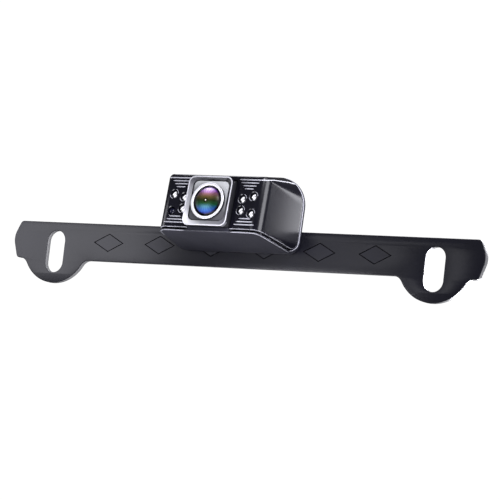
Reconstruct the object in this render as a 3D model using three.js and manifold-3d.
// License-plate backup camera: a flat bar that bolts on over a license plate, with a camera
// housing in its middle and a lens module that tilts up and down in the housing.
// Millimetres. X runs along the bar, Y runs back towards the vehicle, Z is up. The origin is on
// the bar's back face, halfway between the two slots and level with their centres.
import * as THREE from "three";
import { mergeVertices } from "three/addons/utils/BufferGeometryUtils.js";
import Module from "manifold-3d";

const wasm = await Module();
wasm.setup();

// ---- driving dimensions ----
const GAP = 0.3; // between pieces that touch
const FLUSH = 0.001; // how far a cut passes the surface it starts from

const bar = {
  thickness: 2.5,
  top: 12.35,
  bottom: -3.25,
  topHalfLength: 107.6,
  halfLength: 110.9,
  widestZ: 5.3,
  bottomHalfLength: 108.1,
  cornerRadius: 1.2,
};
const slot = { x: 88.9, width: 8.6, length: 17.6 };
const lobe = { radius: 16, centreZ: 2.8, fillet: 4.5 };
const diamond = { pitch: 25, width: 15.1, height: 7.8, count: 6, depth: 0.4, line: 0.5 };

// The housing is a wedge: wide and round at the bar, narrow and square at its tilted face.
const housing = {
  rear: 0.3, // distances called "reach" are measured forward from the bar's front face
  widest: 1.8,
  face: 23.4, // at the height of the lens
  wall: 1.5,
  rearHalfWidth: 29.4,
  faceHalfWidth: 22.8,
  rearTop: 33.7,
  faceTop: 30.5,
  rearBottom: 3.0,
  faceBottom: 7.3,
  rearTopRadius: 12,
  rearBottomRadius: 5,
  faceCornerRadius: 1,
  faceEdgeRadius: 4.5,
  draft: 0.03, // how far the sides lean in, for each millimetre below draftTop, at the rear
  draftTop: 22,
};
// The groove between front cover and rear shell runs round the rear and along the floor's edges.
const parting = { reach: 2.1, rearGap: 0.4, height: 0.4, floorGap: 0.95, corner: 3 };
const floorPlate = { height: 1.25, front: 21.3 };
const rib = { height: 0.5, proud: 0.35 };
const ribRows = [
  { count: 4, z: 29, step: -1.22, from: 10.7, to: 21 },
  { count: 3, z: 10.8, step: 1.22, from: 11.4, to: 20.9 },
];

// The lens axis leaves the housing tilted up. "back" is measured along it from the bezel's rim.
const lens = { reach: 27.3, z: 19.4, tiltDeg: 7 };
const bezel = { half: 10.2, corner: 2.9, lip: 0.4, chamfer: 0.9 };
const opening = { half: 8.3, corner: 2.4, rise: 0.4 }; // in the bezel, a little above the lens axis
const pivot = { back: 9.5, drumRadius: 10.9, pin: 2.6, reach: 14 };
const drum = { halfWidth: 9.4, wall: 1.3, back: 18.3, skirtHalfHeight: 10.2, backHalfHeight: 8.4 };
const cutOut = { halfWidth: 9.9, halfHeight: 9.85, corner: 1.2, deep: 4, below: 12, belowDrop: 2 };
const ring = { outer: 15, inner: 12.6, front: -0.15, back: 1 };
const barrel = { outer: 11.7, inner: 9.6, front: 2.5, thread: 10.8, threadFront: 5.3, back: 10.6 };
const lamp = { x: [13.5, 18.4], z: [2.35, 3.5], diameter: 3, hole: 3.3, length: 4.6, sunk: 0.1 };
const lampBoardSize = { from: 11.8, to: 20.1, halfHeight: 6.4 };
const boardThickness = 1;

const ARC = 6; // segments in a quarter turn of an outline

// ---- materials ----
const finish = (color, roughness, metalness) =>
  new THREE.MeshStandardMaterial({ color, roughness, metalness });
const looks = {
  bar: finish(0x3c3b42, 0.55, 0.2),
  cover: finish(0x232329, 0.35, 0.1),
  shell: finish(0x3a3a40, 0.45, 0.1),
  bezel: finish(0x6d6d74, 0.3, 0.6),
  plate: finish(0x55565c, 0.5, 0.3),
  chrome: finish(0xe9eaee, 0.12, 1),
  glass: finish(0x3b2f55, 0.05, 0),
  clear: finish(0xd5d8dc, 0.1, 0),
  sensor: finish(0x15151f, 0.3, 0),
  steel: finish(0x9a9ca0, 0.35, 0.9),
  brass: finish(0xb08d4a, 0.4, 0.9),
  rubber: finish(0x161616, 0.9, 0),
  circuit: finish(0x1d5b34, 0.55, 0),
  chip: finish(0x141416, 0.5, 0),
  nylon: finish(0xe4e0d4, 0.6, 0),
  aluminium: finish(0xb9bcc2, 0.35, 0.9),
};

// ---- solids ----
function solid(geometry) {
  geometry.deleteAttribute("normal");
  geometry.deleteAttribute("uv");
  const merged = mergeVertices(geometry, 1e-4);
  return new wasm.Manifold(
    new wasm.Mesh({
      numProp: 3,
      vertProperties: new Float32Array(merged.attributes.position.array),
      triVerts: new Uint32Array(merged.index.array),
    }),
  );
}

function geometryOf(body) {
  const mesh = body.getMesh();
  const geometry = new THREE.BufferGeometry();
  geometry.setAttribute("position", new THREE.BufferAttribute(mesh.vertProperties, 3));
  geometry.setIndex(new THREE.BufferAttribute(mesh.triVerts, 1));
  geometry.computeVertexNormals();
  return geometry;
}

const root = new THREE.Group();

// Makes a named piece from a solid or a geometry and hangs it in a group.
function piece(name, shape, look, parent = root) {
  const geometry = shape.isBufferGeometry ? shape : geometryOf(shape);
  const mesh = new THREE.Mesh(geometry, look);
  mesh.name = name;
  parent.add(mesh);
  return mesh;
}

function box(sizeX, sizeY, sizeZ, x, y, z) {
  return solid(new THREE.BoxGeometry(sizeX, sizeY, sizeZ).translate(x, y, z));
}

// A cylinder or cone along Y between two Y values.
function rodY(radiusStart, radiusEnd, yStart, yEnd, x, z, sides = 20) {
  const rod = new THREE.CylinderGeometry(radiusEnd, radiusStart, yEnd - yStart, sides);
  return solid(rod.translate(0, (yStart + yEnd) / 2, 0).translate(x, 0, z));
}

function rodX(radius, xStart, xEnd, y, z, sides = 16) {
  const rod = new THREE.CylinderGeometry(radius, radius, xEnd - xStart, sides).rotateZ(-Math.PI / 2);
  return solid(rod.translate((xStart + xEnd) / 2, y, z));
}

// A solid of revolution about Y: points are [radius, y] pairs from axis to axis or a closed ring.
function turned(points, x, z, sides = 24) {
  const profile = points.map(([radius, y]) => new THREE.Vector2(radius, y));
  return solid(new THREE.LatheGeometry(profile, sides).translate(x, 0, z));
}

// A ring of rectangular section about Y.
function ringY(outer, inner, yStart, yEnd, x, z, sides = 24) {
  const profile = [
    [inner, yStart],
    [outer, yStart],
    [outer, yEnd],
    [inner, yEnd],
    [inner, yStart],
  ];
  return turned(profile, x, z, sides);
}

// An outline drawn in X and Z, extruded along Y between two Y values.
function extrudedY(shape, yStart, yEnd, curveSegments = ARC) {
  const options = { depth: yEnd - yStart, bevelEnabled: false, curveSegments };
  return solid(new THREE.ExtrudeGeometry(shape, options).rotateX(Math.PI / 2).translate(0, yEnd, 0));
}

// An outline drawn in Y and Z, extruded along X about the middle.
function extrudedX(shape, halfWidth, curveSegments = ARC) {
  const options = { depth: 2 * halfWidth, bevelEnabled: false, curveSegments };
  const geometry = new THREE.ExtrudeGeometry(shape, options);
  geometry.translate(0, 0, -halfWidth);
  geometry.applyMatrix4(new THREE.Matrix4().set(0, 0, 1, 0, 1, 0, 0, 0, 0, 1, 0, 0, 0, 0, 0, 1));
  return solid(geometry);
}

function roundedRectangle(halfWidth, bottom, top, radius) {
  const shape = new THREE.Shape();
  shape.moveTo(halfWidth, bottom + radius);
  shape.lineTo(halfWidth, top - radius);
  shape.absarc(halfWidth - radius, top - radius, radius, 0, Math.PI / 2);
  shape.absarc(radius - halfWidth, top - radius, radius, Math.PI / 2, Math.PI);
  shape.absarc(radius - halfWidth, bottom + radius, radius, Math.PI, 1.5 * Math.PI);
  shape.absarc(halfWidth - radius, bottom + radius, radius, 1.5 * Math.PI, 2 * Math.PI);
  return shape;
}

function polygon(points) {
  return new THREE.Shape(points.map(([a, b]) => new THREE.Vector2(a, b)));
}

const reachToY = (reach) => -bar.thickness - reach;

// ---- mounting bar ----
function addArc(points, x, z, radius, from, to, steps) {
  for (let i = 0; i <= steps; i += 1) {
    const angle = from + ((to - from) * i) / steps;
    points.push([x + radius * Math.cos(angle), z + radius * Math.sin(angle)]);
  }
}

// The rounded lobe under the right-hand slot, faired into the bar's bottom edge on both sides.
function addLobe(points) {
  const filletZ = bar.bottom - lobe.fillet;
  const rise = lobe.centreZ - filletZ;
  const reach = Math.sqrt((lobe.radius + lobe.fillet) ** 2 - rise ** 2);
  const lean = Math.atan2(rise, reach);
  addArc(points, slot.x - reach, filletZ, lobe.fillet, Math.PI / 2, lean, 4);
  addArc(points, slot.x, lobe.centreZ, lobe.radius, Math.PI + lean, 2 * Math.PI - lean, 18);
  addArc(points, slot.x + reach, filletZ, lobe.fillet, Math.PI - lean, Math.PI / 2, 4);
}

// Rounds one corner of an outline with a curve that starts and ends "radius" from it.
function roundedCorner(points, before, corner, after, radius) {
  const toward = (from, to) => {
    const dx = to[0] - from[0];
    const dz = to[1] - from[1];
    const length = Math.hypot(dx, dz);
    return [dx / length, dz / length];
  };
  const [ax, az] = toward(corner, before);
  const [bx, bz] = toward(corner, after);
  const start = [corner[0] + ax * radius, corner[1] + az * radius];
  const end = [corner[0] + bx * radius, corner[1] + bz * radius];
  const steps = 4;
  for (let i = 0; i <= steps; i += 1) {
    const t = i / steps;
    const a = (1 - t) ** 2;
    const b = 2 * t * (1 - t);
    const c = t ** 2;
    points.push([a * start[0] + b * corner[0] + c * end[0], a * start[1] + b * corner[1] + c * end[1]]);
  }
}

function barOutline() {
  const half = [];
  addLobe(half);
  const bottomCorner = [bar.bottomHalfLength, bar.bottom];
  const tip = [bar.halfLength, bar.widestZ];
  const topCorner = [bar.topHalfLength, bar.top];
  roundedCorner(half, [slot.x, bar.bottom], bottomCorner, tip, bar.cornerRadius);
  roundedCorner(half, bottomCorner, tip, topCorner, 2.5 * bar.cornerRadius);
  roundedCorner(half, tip, topCorner, [0, bar.top], bar.cornerRadius);
  const otherHalf = half.map(([x, z]) => [-x, z]).reverse();
  return polygon([...half, ...otherHalf]);
}

function stadium(x, width, length) {
  const radius = width / 2;
  const straight = length / 2 - radius;
  const path = new THREE.Shape();
  path.moveTo(x + radius, -straight);
  path.absarc(x, straight, radius, 0, Math.PI);
  path.absarc(x, -straight, radius, Math.PI, 2 * Math.PI);
  return path;
}

const barMiddleZ = (bar.top + bar.bottom) / 2;

function rhombus(x, halfWidth, halfHeight) {
  return polygon([
    [x - halfWidth, barMiddleZ],
    [x, barMiddleZ - halfHeight],
    [x + halfWidth, barMiddleZ],
    [x, barMiddleZ + halfHeight],
  ]);
}

const barScrew = {
  x: 14.5,
  z: 7.3,
  shank: 3,
  head: 5.6,
  headDepth: 1.5,
  sunk: 0.15, // the head's flat lies this deep in the bar's back face
  length: 8.2,
  recess: { length: 3, width: 0.7, depth: 0.8 },
};
// The rear shell's post that a bar screw goes into.
const barPost = { radius: 2.9, front: 8.6, rear: 1.2 };

function mountingBar() {
  let body = extrudedY(barOutline(), -bar.thickness, 0);
  const through = bar.thickness + 1; // cuts start this far forward, to pass right through
  for (const side of [-1, 1]) {
    body = body.subtract(extrudedY(stadium(side * slot.x, slot.width, slot.length), -through, 1, 10));
    const holeRadius = barScrew.shank / 2 + GAP;
    body = body.subtract(rodY(holeRadius, holeRadius, -through, 1, side * barScrew.x, barScrew.z));
    const sinkRadius = barScrew.head / 2 + GAP;
    const sinkStart = -barScrew.headDepth - GAP;
    body = body.subtract(rodY(holeRadius, sinkRadius, sinkStart, FLUSH, side * barScrew.x, barScrew.z));
  }
  const grooveFront = -bar.thickness - 1;
  const grooveBottom = -bar.thickness + diamond.depth;
  for (let i = 0; i < diamond.count; i += 1) {
    const x = (i - (diamond.count - 1) / 2) * diamond.pitch;
    const wide = diamond.width / 2;
    const high = diamond.height / 2;
    const panel = rhombus(x, wide - 2 * diamond.line, high - diamond.line);
    const cut = extrudedY(rhombus(x, wide, high), grooveFront, grooveBottom);
    body = body.subtract(cut.subtract(extrudedY(panel, grooveFront - 1, grooveBottom + 1)));
  }
  return body;
}

// ---- housing ----
// Shape of the housing's outline at a reach from the bar, drawn in by an inset.
function outlineAt(reach, inset) {
  const t = (reach - housing.widest) / (housing.face - housing.widest);
  const mix = (a, b) => a + (b - a) * t;
  return {
    halfWidth: mix(housing.rearHalfWidth, housing.faceHalfWidth) - inset,
    top: mix(housing.rearTop, housing.faceTop) - inset,
    bottom: mix(housing.rearBottom, housing.faceBottom) + inset,
    topRadius: Math.max(mix(housing.rearTopRadius, housing.faceCornerRadius) - inset, 0.4),
    bottomRadius: Math.max(mix(housing.rearBottomRadius, housing.faceCornerRadius) - inset, 0.4),
    draft: mix(housing.draft / housing.rearHalfWidth, 0),
  };
}

// One closed loop of points round the outline, leaning forward at its foot by the given tilt.
function outlineLoop(section, reach, tilt) {
  const loop = [];
  const corner = (x, z, radius, quarter) => {
    for (let i = 0; i <= ARC; i += 1) {
      const angle = ((quarter + i / ARC) * Math.PI) / 2;
      const pz = z + radius * Math.sin(angle);
      const lean = 1 - section.draft * Math.max(housing.draftTop - pz, 0);
      const px = (x + radius * Math.cos(angle)) * lean;
      loop.push([px, reachToY(reach - (pz - lens.z) * tilt), pz]);
    }
  };
  const { halfWidth, top, bottom, topRadius, bottomRadius } = section;
  corner(halfWidth - topRadius, top - topRadius, topRadius, 0);
  corner(topRadius - halfWidth, top - topRadius, topRadius, 1);
  corner(bottomRadius - halfWidth, bottom + bottomRadius, bottomRadius, 2);
  corner(halfWidth - bottomRadius, bottom + bottomRadius, bottomRadius, 3);
  return loop;
}

// Skins a stack of loops, from the one nearest the bar to the face, and closes both ends.
function skinned(loops) {
  const count = loops[0].length;
  const vertices = loops.flat();
  const triangles = [];
  for (let ringIndex = 0; ringIndex + 1 < loops.length; ringIndex += 1) {
    for (let i = 0; i < count; i += 1) {
      const j = (i + 1) % count;
      const a = ringIndex * count + i;
      const b = ringIndex * count + j;
      triangles.push(a, b, b + count, a, b + count, a + count);
    }
  }
  const cap = (start, flip) => {
    const centre = [0, 1, 2].map((axis) => {
      const sum = vertices.slice(start, start + count).reduce((total, v) => total + v[axis], 0);
      return sum / count;
    });
    vertices.push(centre);
    for (let i = 0; i < count; i += 1) {
      const a = start + i;
      const b = start + ((i + 1) % count);
      triangles.push(...(flip ? [b, a] : [a, b]), vertices.length - 1);
    }
  };
  const last = (loops.length - 1) * count;
  cap(0, true);
  cap(last, false);
  const geometry = new THREE.BufferGeometry();
  geometry.setAttribute("position", new THREE.Float32BufferAttribute(vertices.flat(), 3));
  geometry.setIndex(triangles);
  return solid(geometry);
}

const faceTilt = Math.tan(THREE.MathUtils.degToRad(lens.tiltDeg));

function wedge(inset, rear) {
  const radius = Math.max(housing.faceEdgeRadius - inset, 1);
  const face = housing.face - inset;
  const shoulder = face - radius;
  const loops = [];
  const starts = rear < housing.widest ? [rear, housing.widest] : [rear];
  const add = (reach, section) => {
    const blend = Math.max(0, Math.min(1, (reach - housing.widest) / (shoulder - housing.widest)));
    loops.push(outlineLoop(section, reach, faceTilt * blend));
  };
  for (const reach of starts) {
    const section = outlineAt(Math.max(reach, housing.widest), inset);
    if (reach < housing.widest) section.halfWidth -= GAP;
    add(reach, section);
  }
  const along = 2;
  for (let i = 1; i <= along; i += 1) {
    const reach = housing.widest + ((shoulder - housing.widest) * i) / along;
    if (reach > rear + 0.5) add(reach, outlineAt(reach, inset));
  }
  const sideSlope = (housing.rearHalfWidth - housing.faceHalfWidth) / (housing.face - housing.widest);
  const lean = Math.atan(sideSlope);
  const steps = 5;
  for (let i = 1; i <= steps; i += 1) {
    const angle = lean + ((Math.PI / 2 - lean) * i) / steps;
    const reach = shoulder + radius * Math.sin(angle);
    const section = outlineAt(Math.min(reach, face), inset);
    const shoulderWidth = outlineAt(shoulder + radius * Math.sin(lean), inset).halfWidth;
    section.halfWidth = shoulderWidth - radius * (Math.cos(lean) - Math.cos(angle));
    add(reach, section);
  }
  return skinned(loops);
}

const outer = wedge(0, housing.rear);

// Everything behind and under the parting groove, as an outline in Y and Z. The two gaps move it
// out: none gives the rear shell's edge, the groove's own gaps give the front cover's edge.
function partingRegion(rearGap, floorGap) {
  const far = 60;
  const frontReach = housing.face + 4;
  const lift = parting.height + floorGap;
  const front = [reachToY(frontReach), outlineAt(frontReach, 0).bottom + lift];
  const corner = [reachToY(parting.reach + rearGap), outlineAt(parting.reach, 0).bottom + lift];
  const top = [corner[0], far];
  const outline = [[front[0], -far], [far, -far], [far, far], top];
  roundedCorner(outline, top, corner, front, parting.corner + parting.rearGap - rearGap);
  outline.push(front);
  return polygon(outline);
}

// A slab on the flat of the housing's floor, from the rear to a reach, widened by an extra.
function floorSlab(height, frontReach, extra) {
  const loopAt = (reach) => {
    const { halfWidth, bottom, bottomRadius } = outlineAt(reach, 0);
    const x = halfWidth - bottomRadius + extra;
    const y = reachToY(reach);
    return [[x, y, bottom + height], [-x, y, bottom + height], [-x, y, bottom], [x, y, bottom]];
  };
  return skinned([loopAt(housing.widest), loopAt(frontReach)]);
}

// Turns a shape in Y and Z into a solid that spans the whole width.
const acrossHousing = (shape) => extrudedX(shape, 40);

// The frame of the lens axis: y is measured back from the bezel's rim, z is up across it.
const axisFrame = new THREE.Matrix4()
  .makeTranslation(0, reachToY(lens.reach), lens.z)
  .multiply(new THREE.Matrix4().makeRotationX(THREE.MathUtils.degToRad(-lens.tiltDeg)));
const toWorld = (body) => body.transform(axisFrame.elements);

// Room for the lens module's drum to turn in, between the two sides of the opening.
const roomShape = new THREE.Shape().absarc(pivot.back, 0, pivot.drumRadius + 0.4, 0, 2 * Math.PI);
const drumRoom = toWorld(extrudedX(roomShape, cutOut.halfWidth, 14));

const onFace = lens.reach - housing.face; // how far the face lies behind the bezel's rim

const lampPlaces = [];
for (const side of [-1, 1]) {
  for (const row of [1, -1]) {
    for (const column of [1, 0]) {
      lampPlaces.push({ x: side * lamp.x[column], z: row * lamp.z[column] });
    }
  }
}
// The light sensor takes the outer lower place on the left.
const isSensorPlace = ({ x, z }) => x < -lamp.x[0] - 1 && z < 0;

// Ribs over and under the lamps: each row is shorter at both ends than the one outside it.
function faceRibs(side) {
  const rows = [];
  for (const { count, z, step, from, to } of ribRows) {
    for (let i = 0; i < count; i += 1) rows.push({ z: z + i * step, from: from + i, to: to - i });
  }
  return rows.map(({ z, from, to }) => {
    const reach = housing.face - (z - lens.z) * faceTilt;
    const length = to - from;
    const depth = 2 * rib.proud;
    return box(length, depth, rib.height, side * (from + length / 2), reachToY(reach), z);
  });
}

// A cylinder on the pivot's axis, long enough to cut through everything there.
const alongPivot = (radius) => onPivot(radius, -pivot.reach, pivot.reach);

const cheek = { from: 10.2, to: 11.4, front: 4.6, back: 13.4, halfHeight: 9.6, bushHole: 2.35 };
const boss = { x: 22.3, z: [26.6, 11.6], radius: 2.1, hole: 0.9, rear: 2.4, front: 16, holeFront: 14 };

function frontCover() {
  let body = outer.subtract(wedge(housing.wall, 1));
  body = body.subtract(acrossHousing(partingRegion(parting.rearGap, parting.floorGap)));
  body = body.subtract(floorSlab(housing.wall + GAP, floorPlate.front + GAP, GAP));
  for (const side of [-1, 1]) {
    for (const ridge of faceRibs(side)) body = body.add(ridge);
    for (const z of boss.z) {
      const [start, end] = [reachToY(boss.front), reachToY(boss.rear)];
      const post = rodY(boss.radius, boss.radius, start, end, side * boss.x, z);
      body = body.add(post.intersect(wedge(housing.wall / 2, 1)));
      const bore = rodY(boss.hole, boss.hole, reachToY(boss.holeFront), 0, side * boss.x, z, 16);
      body = body.subtract(bore);
    }
    const middle = side * ((cheek.from + cheek.to) / 2);
    const depth = cheek.back - cheek.front;
    const width = cheek.to - cheek.from;
    const plate = box(width, depth, 2 * cheek.halfHeight, middle, cheek.front + depth / 2, 0);
    body = body.add(toWorld(plate)).subtract(toWorld(alongPivot(cheek.bushHole)));
  }
  const { halfWidth, halfHeight, corner, deep, below, belowDrop } = cutOut;
  const window = roundedRectangle(halfWidth, -halfHeight, halfHeight, corner);
  body = body.subtract(toWorld(extrudedY(window, onFace - deep, onFace + deep)));
  const lowMiddle = housing.faceBottom - belowDrop;
  const openBelow = box(2 * halfWidth, below, below, 0, reachToY(housing.face), lowMiddle);
  body = body.subtract(openBelow).subtract(drumRoom);
  for (const { x, z } of lampPlaces) {
    const hole = rodY(lamp.hole / 2, lamp.hole / 2, onFace - cutOut.deep, onFace + cutOut.deep, x, z);
    body = body.subtract(toWorld(hole));
  }
  return body;
}

const panScrew = {
  head: 1.9, // radii
  shank: 0.65,
  headHeight: 0.8,
  length: 8,
  clearance: 1.3,
  sink: 2.3,
  sinkFront: 1.3,
  recess: { length: 2.6, width: 0.6, depth: 0.4 },
};

// The rear shell's lip stands higher under the lens module, where the front cover is cut away.
const chin = { halfWidth: cutOut.halfWidth - GAP, rise: 1.55, reach: housing.face + 0.6, depth: 4 };

const backWall = { front: 2.1 }; // the reach of the back wall's inner face
const gland = { x: 17.2, z: 21.5, bore: 1.6, hole: 3.1, collar: 4.4, front: 4.4, rear: -1.6 };

function rearShell() {
  let body = outer.intersect(acrossHousing(partingRegion(0, 0)));
  const chinBlock = outer
    .intersect(acrossHousing(partingRegion(0, chin.rise)))
    .intersect(box(2 * chin.halfWidth, chin.depth, 20, 0, reachToY(chin.reach), housing.faceBottom));
  const floor = floorSlab(floorPlate.height, floorPlate.front, 0).intersect(outer);
  body = body.add(chinBlock).add(floor);
  body = body.subtract(wedge(housing.wall, backWall.front)).subtract(drumRoom);
  for (const side of [-1, 1]) {
    const [start, end] = [reachToY(barPost.front), reachToY(barPost.rear)];
    const post = rodY(barPost.radius, barPost.radius, start, end, side * barScrew.x, barScrew.z);
    body = body.add(post.intersect(outer));
    const screwHole = barScrew.shank / 2 + GAP;
    const tip = -barScrew.length - GAP;
    body = body.subtract(rodY(screwHole, screwHole, tip, 1, side * barScrew.x, barScrew.z));
    const { clearance, sink, sinkFront } = panScrew;
    for (const z of boss.z) {
      body = body.subtract(rodY(clearance, clearance, reachToY(boss.front), 0, side * boss.x, z, 16));
      body = body.subtract(rodY(sink, sink, reachToY(sinkFront), 0, side * boss.x, z, 20));
    }
  }
  return body.subtract(rodY(gland.hole, gland.hole, reachToY(gland.front), 0, gland.x, gland.z));
}

// ---- fasteners ----
// A cross-shaped recess for a screwdriver, centred on a screw head's surface.
function crossRecess({ length, width, depth }, x, y, z) {
  return box(length, 2 * depth, width, x, y, z).add(box(width, 2 * depth, length, x, y, z));
}

// A screw whose head lies in the rear shell's back and whose shank runs forward.
function panHeadScrew(x, z) {
  const headRear = reachToY(housing.rear) + 0.1;
  const headFront = headRear - panScrew.headHeight;
  const head = rodY(panScrew.head, panScrew.head, headFront, headRear, x, z, 20);
  const shank = rodY(panScrew.shank, panScrew.shank, headRear - panScrew.length, headFront, x, z, 12);
  return head.add(shank).subtract(crossRecess(panScrew.recess, x, headRear, z));
}

function countersunkScrew(x, z) {
  const profile = [
    [0, -barScrew.length],
    [barScrew.shank / 2, -barScrew.length],
    [barScrew.shank / 2, -barScrew.headDepth],
    [barScrew.head / 2, -barScrew.sunk],
    [0, -barScrew.sunk],
  ];
  return turned(profile, x, z, 24).subtract(crossRecess(barScrew.recess, x, 0, z));
}

// ---- lamps and their boards ----
function lampBody(x, z) {
  const radius = lamp.diameter / 2;
  const flange = radius + 0.35;
  const front = onFace + lamp.sunk;
  const back = front + lamp.length;
  const profile = [
    [0, front],
    [radius * 0.5, front + 0.2],
    [radius * 0.87, front + 0.75],
    [radius, front + 1.5],
    [radius, back - 1],
    [flange, back - 1],
    [flange, back - GAP],
    [0, back - GAP],
  ];
  return turned(profile, x, z, 14);
}

function lampBoard(side) {
  const { from, to, halfHeight } = lampBoardSize;
  const y = onFace + lamp.sunk + lamp.length + boardThickness / 2;
  return box(to - from, boardThickness, 2 * halfHeight, side * ((from + to) / 2), y, 0);
}

// ---- assemble the fixed pieces ----
const bush = { outer: 2.2, bore: 1.5, proud: 0.1 };
const washer = { outer: 2.9, from: 9.6, thickness: 0.35 };

// A cylinder on the pivot's axis between two X values, in either order.
function onPivot(radius, x1, x2) {
  return rodX(radius, Math.min(x1, x2), Math.max(x1, x2), pivot.back, 0);
}

piece("mounting_bar", mountingBar(), looks.bar);
piece("front_cover", frontCover(), looks.cover);
piece("rear_shell", rearShell(), looks.shell);
[-1, 1].forEach((side) => {
  const name = side < 0 ? "left" : "right";
  piece(`bar_screw_${name}`, countersunkScrew(side * barScrew.x, barScrew.z), looks.steel);
  piece(`lamp_board_${name}`, toWorld(lampBoard(side)), looks.circuit);
  const bore = alongPivot(bush.bore);
  const [inner, outerEnd] = [side * (cheek.from - bush.proud), side * (cheek.to + bush.proud)];
  const sleeve = onPivot(bush.outer, inner, outerEnd);
  piece(`pivot_bush_${name}`, toWorld(sleeve.subtract(bore)), looks.brass);
  const disc = onPivot(washer.outer, side * washer.from, side * (washer.from + washer.thickness));
  piece(`friction_washer_${name}`, toWorld(disc.subtract(bore)), looks.nylon);
  ["top", "bottom"].forEach((level, index) => {
    piece(`housing_screw_${name}_${level}`, panHeadScrew(side * boss.x, boss.z[index]), looks.steel);
  });
});

let lampNumber = 1;
for (const place of lampPlaces) {
  if (isSensorPlace(place)) {
    piece("light_sensor", toWorld(lampBody(place.x, place.z)), looks.sensor);
  } else {
    piece(`ir_lamp_${lampNumber}`, toWorld(lampBody(place.x, place.z)), looks.clear);
    lampNumber += 1;
  }
}

// The main board stands behind the lens module, with its larger components out to the sides.
const mainBoard = { halfWidth: 17.5, bottom: 11.4, top: 28, reach: 3.4, thickness: 1.2, notch: 5.2 };
const mainBoardFront = mainBoard.reach + mainBoard.thickness;
function mainBoardBody() {
  const { halfWidth, bottom, top, thickness } = mainBoard;
  const y = reachToY(mainBoard.reach + thickness / 2);
  const sheet = box(2 * halfWidth, thickness, top - bottom, 0, y, (top + bottom) / 2);
  const { notch, reach } = mainBoard;
  return sheet.subtract(rodY(notch, notch, reachToY(reach + 2), reachToY(reach - 1), gland.x, gland.z));
}
// A block standing on the main board's front: size is width, depth and height.
const onMainBoard = ({ size, x, z }) => box(...size, x, reachToY(mainBoardFront + GAP + size[1] / 2), z);
const capacitor = { radius: 2, length: 4.6, x: -14, z: 23.5 };
function capacitorBody() {
  const { radius, length, x, z } = capacitor;
  const back = reachToY(mainBoardFront + GAP);
  return rodY(radius, radius, back - length, back, x, z);
}
piece("main_board", mainBoardBody(), looks.circuit);
piece("video_chip", onMainBoard({ size: [6, 0.9, 6], x: 0, z: 20 }), looks.chip);
piece("inductor", onMainBoard({ size: [4.4, 3, 4.4], x: -14, z: 16 }), looks.chip);
piece("cable_connector", onMainBoard({ size: [6, 4, 3], x: 13.4, z: 14.4 }), looks.nylon);
piece("capacitor", capacitorBody(), looks.aluminium);

// The gland is a rubber collar that grips the back wall from both sides.
function cableGland() {
  const waist = gland.hole - GAP;
  const frontCollar = waist + 0.9;
  const clear = 0.2; // between a collar and the wall
  const wallFront = reachToY(backWall.front + clear);
  const wallBack = reachToY(housing.rear - clear);
  const profile = [
    [gland.bore, reachToY(gland.front)],
    [frontCollar, reachToY(gland.front)],
    [frontCollar, wallFront],
    [waist, wallFront],
    [waist, wallBack],
    [gland.collar, wallBack],
    [gland.collar - 0.6, reachToY(gland.rear)],
    [gland.bore, reachToY(gland.rear)],
    [gland.bore, reachToY(gland.front)],
  ];
  return turned(profile, gland.x, gland.z, 20);
}
piece("cable_gland", cableGland(), looks.rubber);

// ---- lens module: built along the lens axis, turning about the pivot behind the rim ----
const lensModule = new THREE.Group();
lensModule.applyMatrix4(axisFrame);
root.add(lensModule);

// Behind the bezel's rim, whose back is at "start", a narrower neck reaches back to the drum.
const neck = { start: 1.4, back: 2, halfWidth: 9.5, halfHeight: 8.75 };

// A rounded rectangle round the middle of the bezel's opening.
function roundOpening(halfWidth, halfHeight, corner) {
  return roundedRectangle(halfWidth, opening.rise - halfHeight, opening.rise + halfHeight, corner);
}

function bezelFrame() {
  const rim = roundedRectangle(bezel.half, -bezel.half, bezel.half, bezel.corner);
  const neckShape = roundOpening(neck.halfWidth, neck.halfHeight, opening.corner);
  const hole = roundOpening(opening.half, opening.half, opening.corner);
  const body = extrudedY(rim, 0, neck.start)
    .add(extrudedY(neckShape, bezel.chamfer, neck.back))
    .subtract(extrudedY(hole, -1, neck.back + 1));
  const lip = bezel.half - bezel.lip;
  const mouth = roundedRectangle(lip, -lip, lip, bezel.corner - bezel.lip);
  const loopAt = (shape, y) => shape.getPoints(ARC).slice(0, -1).map((point) => [point.x, y, point.y]);
  return body.subtract(skinned([loopAt(hole, bezel.chamfer), loopAt(mouth, -FLUSH)]));
}

// The drum's side view: round about the pivot until just past the housing's opening at the ends
// of the swing, then tapering to its open back.
function drumProfile(inset, front, back) {
  const radius = pivot.drumRadius - inset;
  const above = [];
  const start = Math.acos((pivot.back - front) / radius);
  const end = Math.asin((drum.skirtHalfHeight - inset) / radius);
  const steps = 6;
  for (let i = 0; i <= steps; i += 1) {
    const angle = start + ((end - start) * i) / steps;
    above.push([pivot.back - radius * Math.cos(angle), radius * Math.sin(angle)]);
  }
  above.push([back, drum.backHalfHeight - inset]);
  const below = above.map(([y, z]) => [y, -z]).reverse();
  return polygon([...above, ...below]);
}

const drumWindow = { half: opening.half - 0.8, corner: 2, back: 6 };

function moduleShell() {
  const front = neck.back + GAP;
  const hollow = drumProfile(drum.wall, front + 1.2, drum.back + 1);
  const { half, corner, back } = drumWindow;
  const window = extrudedY(roundedRectangle(half, -half, half, corner), 0, back);
  const body = extrudedX(drumProfile(0, front, drum.back), drum.halfWidth)
    .subtract(extrudedX(hollow, drum.halfWidth - drum.wall))
    .subtract(window);
  return body.subtract(alongPivot(pivot.pin / 2 + GAP / 2));
}

function pivotPin(side) {
  const head = { radius: 2, halfLength: 0.5 };
  const headX = drum.halfWidth - drum.wall - GAP - head.halfLength;
  const tipX = cheek.to + 0.1;
  const from = side * (headX - head.halfLength);
  const flange = onPivot(head.radius, from, side * (headX + head.halfLength));
  return flange.add(onPivot(pivot.pin / 2, side * headX, side * tipX));
}

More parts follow.
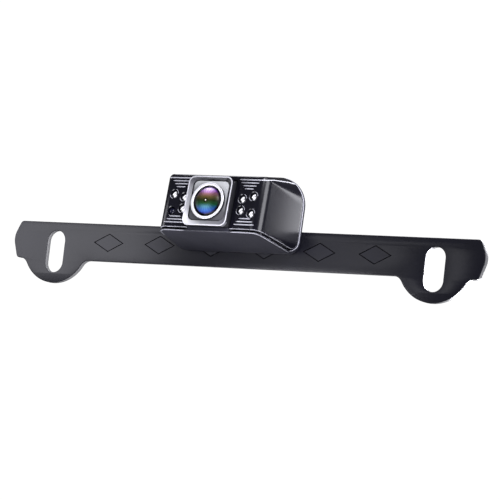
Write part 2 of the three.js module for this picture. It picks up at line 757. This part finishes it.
piece("bezel_frame", bezelFrame(), looks.bezel, lensModule);
piece("module_shell", moduleShell(), looks.cover, lensModule);

// The plate that fills the bezel's opening round the lens.
function lensPlate() {
  const front = 1.3;
  const half = opening.half - GAP;
  const shape = roundOpening(half, half, opening.corner - GAP);
  const hole = barrel.outer / 2 + GAP;
  return extrudedY(shape, front, neck.back).subtract(rodY(hole, hole, 0, neck.back + 1, 0, 0, 32));
}
piece("lens_plate", lensPlate(), looks.plate, lensModule);

// The ring's front edge is rounded, with a shallow groove round its face.
function lensRing() {
  const outerRadius = ring.outer / 2;
  const innerRadius = ring.inner / 2;
  const profile = [
    [innerRadius, ring.back],
    [innerRadius, ring.front + 0.35],
    [innerRadius + 0.3, ring.front],
    [innerRadius + 0.6, ring.front],
    [innerRadius + 0.7, ring.front + 0.15],
    [innerRadius + 0.85, ring.front + 0.15],
    [innerRadius + 0.95, ring.front],
    [outerRadius - 0.3, ring.front + 0.05],
    [outerRadius, ring.front + 0.4],
    [outerRadius, ring.back],
    [innerRadius, ring.back],
  ];
  return turned(profile, 0, 0, 32);
}
piece("lens_ring", lensRing(), looks.chrome, lensModule);

// A lens element: two shallow domes of the given rises on a common rim.
function lensElement({ radius, front, rim, frontRise, backRise }) {
  const steps = 3;
  const points = [];
  for (let i = 0; i <= steps; i += 1) {
    const t = i / steps;
    points.push([radius * t, front + frontRise * (1 - Math.sqrt(1 - 0.96 * t * t)) * 1.25]);
  }
  const back = points[steps][1] + rim;
  for (let i = steps; i >= 0; i -= 1) {
    const t = i / steps;
    points.push([radius * t, back + backRise * (1 - t * t)]);
  }
  return turned(points, 0, 0, 24);
}

// What stands along the lens axis; "front" and "back" are measured back from the bezel's rim.
const stack = {
  frontLens: { radius: 6, front: -1.3, rim: 0.5, frontRise: 2.1, backRise: -0.4 },
  oring: { outer: 5.75, inner: 4.9, front: 1.5, back: 2.2 },
  middleLens: { radius: 4.5, front: 3.4, rim: 1.1, frontRise: 0.7, backRise: 0.5 },
  spacer: { outer: 4.5, inner: 3.4, front: 5.9, back: 6.8 },
  rearLens: { radius: 4.5, front: 7.1, rim: 1.2, frontRise: 0.5, backRise: 0.5 },
  filter: { half: 3.1, corner: 0.4, front: 11.2, back: 11.7 },
  sensor: { size: 5.2, front: 13.3, back: 14.2 },
  board: { size: 13.6, front: 14.5, back: 14.5 + boardThickness },
};
const ringOnAxis = ({ outer: wide, inner, front, back }) => ringY(wide, inner, front, back, 0, 0);
const squareOnAxis = ({ size, front, back }) =>
  box(size, back - front, size, 0, (front + back) / 2, 0);

function infraredFilter() {
  const { half, corner, front, back } = stack.filter;
  return extrudedY(roundedRectangle(half, -half, half, corner), front, back);
}

function lensBarrel() {
  const outerRadius = barrel.outer / 2;
  const innerRadius = barrel.inner / 2;
  const threadRadius = barrel.thread / 2;
  const stopRadius = 3.4; // of the inner lip at the barrel's back
  const stopFront = barrel.back - 0.9;
  const profile = [
    [innerRadius, barrel.front],
    [outerRadius, barrel.front],
    [outerRadius, barrel.threadFront - 0.3],
    [threadRadius, barrel.threadFront],
    [threadRadius, barrel.back],
    [stopRadius, barrel.back],
    [stopRadius, stopFront],
    [innerRadius, stopFront],
    [innerRadius, barrel.front],
  ];
  return turned(profile, 0, 0, 32);
}
// The holder carries the barrel in a collar over a square base.
function lensHolder() {
  const base = { size: 12, front: 13, back: 14.2 };
  const collar = { outer: 6.4, inner: 5.7, front: 7.6, back: 13.4 };
  const sensorRoom = 4.6;
  const hole = rodY(sensorRoom, sensorRoom, base.front - 0.5, base.back + 1, 0, 0);
  return squareOnAxis(base).add(ringOnAxis(collar)).subtract(hole);
}

piece("front_lens", lensElement(stack.frontLens), looks.glass, lensModule);
piece("barrel_oring", ringOnAxis(stack.oring), looks.rubber, lensModule);
piece("lens_barrel", lensBarrel(), looks.aluminium, lensModule);
piece("middle_lens", lensElement(stack.middleLens), looks.glass, lensModule);
piece("lens_spacer", ringOnAxis(stack.spacer), looks.chip, lensModule);
piece("rear_lens", lensElement(stack.rearLens), looks.glass, lensModule);
piece("lens_holder", lensHolder(), looks.chip, lensModule);
piece("infrared_filter", infraredFilter(), looks.glass, lensModule);
piece("image_sensor", squareOnAxis(stack.sensor), looks.chip, lensModule);
piece("sensor_board", squareOnAxis(stack.board), looks.circuit, lensModule);

// The back of the module snaps in, with a hole in its middle for the sensor's wires.
function moduleBack() {
  const halfHeight = drum.backHalfHeight - drum.wall - GAP;
  const halfWidth = drum.halfWidth - drum.wall - GAP;
  const front = drum.back - 1.4;
  const back = drum.back - 0.1;
  const wireHole = 2.2;
  const sheet = extrudedY(roundedRectangle(halfWidth, -halfHeight, halfHeight, 1), front, back);
  return sheet.subtract(rodY(wireHole, wireHole, front - 1, back + 1, 0, 0, 16));
}
piece("module_back", moduleBack(), looks.cover, lensModule);
[-1, 1].forEach((side) => {
  const name = side < 0 ? "left" : "right";
  piece(`pivot_pin_${name}`, pivotPin(side), looks.steel, lensModule);
});

export default root;
